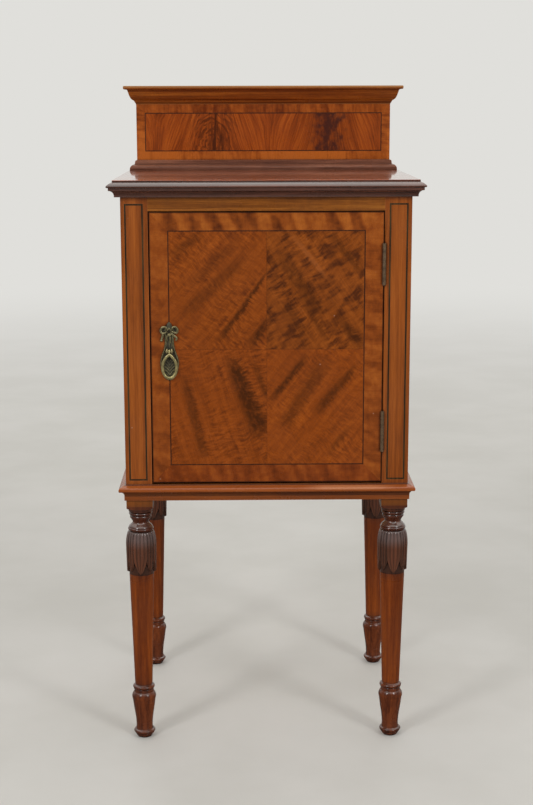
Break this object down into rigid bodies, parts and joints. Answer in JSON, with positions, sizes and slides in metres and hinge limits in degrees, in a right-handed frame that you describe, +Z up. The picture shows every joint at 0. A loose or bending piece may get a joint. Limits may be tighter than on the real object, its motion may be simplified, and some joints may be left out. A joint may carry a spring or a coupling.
{
  "type": "bedside pot cupboard",
  "caption": "Small bedside cupboard on turned, carved legs, with a moulded top, a raised back, a veneered door on butt hinges, a drop handle and a ball catch.",
  "frame": {"origin": "on the floor, under the middle of the whole object's box", "axes": "+Z up, the door faces -Y, +X to the right as seen from the front"},
  "size_m": [0.392, 0.316, 0.849],
  "materials": {
    "mahogany": "French polished mahogany, warm red-brown, satin gloss",
    "mahogany_panel": "French polished mahogany, straight grain",
    "mahogany_top": "French polished mahogany, glossy and a little faded",
    "mahogany_cornice": "French polished mahogany, golden brown",
    "mahogany_dull": "Polished mahogany dulled to a purple brown",
    "pine": "Unpolished softwood, aged",
    "flame_veneer": "Polished crotch mahogany veneer with dark plumes",
    "quarter_veneer": "Polished figured mahogany veneer, quarter matched",
    "crossbanding": "Polished crossbanded veneer, grain across the strip",
    "stringing": "Dark stained stringing lines",
    "hinge_brass": "Tarnished rolled brass",
    "antique_brass": "Antique cast brass, dark in the hollows and worn bright on the high parts",
    "steel": "Plain steel, dulled"
  },
  "bodies": {
    "carcass": {"leg_front_left": "mahogany", "leg_front_right": "mahogany", "leg_rear_left": "mahogany", "leg_rear_right": "mahogany", "top_rail_front": "mahogany", "base_mould_front": "mahogany", "base_mould_left": "mahogany", "base_mould_right": "mahogany", "side_panel_left": "mahogany_panel", "side_panel_right": "mahogany_panel", "upstand_board": "mahogany_panel", "top_board": "mahogany_top", "cornice_front": "mahogany_cornice", "cornice_left": "mahogany_cornice", "cornice_right": "mahogany_cornice", "upstand_mould_front": "mahogany_dull", "upstand_mould_left": "mahogany_dull", "upstand_mould_right": "mahogany_dull", "top_rail_rear": "pine", "bottom_rail_front": "pine", "bottom_rail_rear": "pine", "floor_board": "pine", "floor_bearers": "pine", "back_panel": "pine", "shelf": "pine", "shelf_bearers": "pine", "door_stops": "pine", "upstand_flame_veneer": "flame_veneer", "upstand_crossbanding": "crossbanding", "upstand_stringing": "stringing", "stile_stringing": "stringing", "hinge_frame_leaves": "hinge_brass", "hinge_pins": "hinge_brass", "hinge_frame_screws": "hinge_brass", "strike_plate": "hinge_brass", "strike_screws": "hinge_brass", "back_screws": "steel", "top_screws": "steel", "upstand_screws": "steel"},
    "door": {"door_board": "mahogany_panel", "veneer_upper_left": "quarter_veneer", "veneer_upper_right": "quarter_veneer", "veneer_lower_left": "quarter_veneer", "veneer_lower_right": "quarter_veneer", "crossband_top": "crossbanding", "crossband_foot": "crossbanding", "crossband_left": "crossbanding", "crossband_right": "crossbanding", "door_stringing": "stringing", "hinge_door_leaves": "hinge_brass", "hinge_door_screws": "hinge_brass", "handle_backplate": "antique_brass", "handle_bolt": "antique_brass", "handle_nut": "antique_brass", "handle_pin": "antique_brass", "catch_barrel": "hinge_brass", "catch_spring": "steel"},
    "handle_drop": {"handle_drop": "antique_brass"},
    "catch_ball": {"catch_ball": "steel"}
  },
  "joints": [
    {"name": "door_hinge", "type": "hinge", "parent": "carcass", "child": "door", "pos_m": [0.146, -0.14463, 0.52225], "axis": [0, 0, 1], "range_deg": [0, 175]},
    {"name": "handle_swing", "type": "hinge", "parent": "door", "child": "handle_drop", "pos_m": [-0.122, -0.14642, 0.5206], "axis": [-1, 0, 0], "range_deg": [0, 160]},
    {"name": "catch_press", "type": "slide", "parent": "door", "child": "catch_ball", "axis": [1, 0, 0], "range_m": [0, 0.0012], "stiffness_N_per_m": 500, "springref_m": -0.002, "deforming": ["catch_spring"]}
  ]
}
